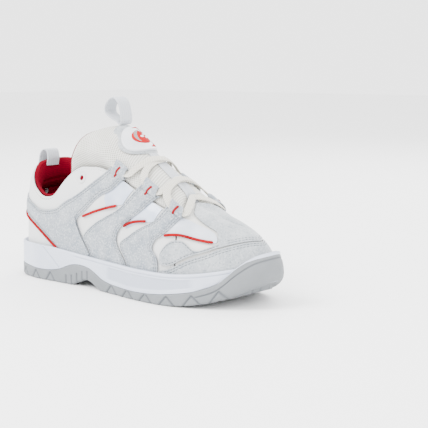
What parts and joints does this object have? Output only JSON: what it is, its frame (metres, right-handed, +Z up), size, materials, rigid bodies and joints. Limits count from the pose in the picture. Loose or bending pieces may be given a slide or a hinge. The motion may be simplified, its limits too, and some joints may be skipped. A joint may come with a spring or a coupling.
{
  "type": "bowling shoe",
  "caption": "Right-foot lace-up bowling shoe with a rubber cup sole, strapped suede and leather upper, padded tongue and pull loops.",
  "frame": {"origin": "middle of the shoe's footprint box, on the floor", "axes": "+X from heel to toe, +Y towards the inner side of the foot (the wearer's left), +Z up"},
  "size_m": [0.2994, 0.1066, 0.1737],
  "materials": {
    "outsole_rubber": "moulded, matt",
    "midsole_rubber": "moulded, satin",
    "white_leather": "fine grain, semi-matt",
    "gloss_film": "thin glossy film",
    "grey_suede": "napped suede, matt",
    "red_trim": "satin piping and thread",
    "red_textile": "knitted lining",
    "tongue_mesh": "knitted mesh",
    "white_webbing": "woven tape",
    "lace_cotton": "flat braided cord",
    "badge_plastic": "moulded, satin",
    "stiffener_board": "fibre board",
    "lining_foam": "open cell foam"
  },
  "bodies": {
    "shoe": {"outsole": "outsole_rubber", "midsole": "midsole_rubber", "insole_board": "stiffener_board", "footbed": "red_textile", "quarter_outer": "white_leather", "quarter_inner": "white_leather", "vamp": "white_leather", "quarter_foam_outer": "lining_foam", "quarter_foam_inner": "lining_foam", "heel_counter": "stiffener_board", "toe_puff": "stiffener_board", "quarter_lining_outer": "red_textile", "quarter_lining_inner": "red_textile", "vamp_lining": "red_textile", "collar_padding": "red_textile", "heel_backstay": "grey_suede", "heel_strap_outer": "grey_suede", "middle_strap_outer": "grey_suede", "front_strap_outer": "grey_suede", "heel_strap_inner": "grey_suede", "middle_strap_inner": "grey_suede", "front_strap_inner": "grey_suede", "toe_guard": "grey_suede", "vamp_suede": "grey_suede", "rear_window_outer": "gloss_film", "middle_window_outer": "gloss_film", "front_window_outer": "gloss_film", "rear_piping_outer": "red_trim", "middle_piping_outer": "red_trim", "front_piping_outer": "red_trim", "heel_piping_outer": "red_trim", "eyelet_ring_outer": "white_leather", "rear_window_inner": "gloss_film", "middle_window_inner": "gloss_film", "front_window_inner": "gloss_film", "rear_piping_inner": "red_trim", "middle_piping_inner": "red_trim", "front_piping_inner": "red_trim", "heel_piping_inner": "red_trim", "eyelet_ring_inner": "white_leather", "heel_pull_loop": "white_webbing", "heel_strap_tack_outer": "red_trim", "middle_strap_tack_outer": "red_trim", "front_strap_tack_outer": "red_trim", "heel_strap_tack_inner": "red_trim", "middle_strap_tack_inner": "red_trim", "front_strap_tack_inner": "red_trim", "lace": "lace_cotton"},
    "tongue": {"tongue": "tongue_mesh", "tongue_lining": "red_textile", "tongue_patch": "grey_suede", "tongue_badge": "badge_plastic", "tongue_webbing": "white_webbing"},
    "tongue_loop": {"tongue_pull_loop": "white_webbing"}
  },
  "joints": [
    {"name": "tongue_hinge", "type": "hinge", "parent": "shoe", "child": "tongue", "pos_m": [0.0595, 0.00225, 0.08], "axis": [0, 1, 0], "range_deg": [-10, 0]},
    {"name": "tongue_loop_flop", "type": "hinge", "parent": "tongue", "child": "tongue_loop", "pos_m": [-0.0285, 0.00225, 0.1515], "axis": [0, 1, 0], "range_deg": [-35, 60]}
  ]
}
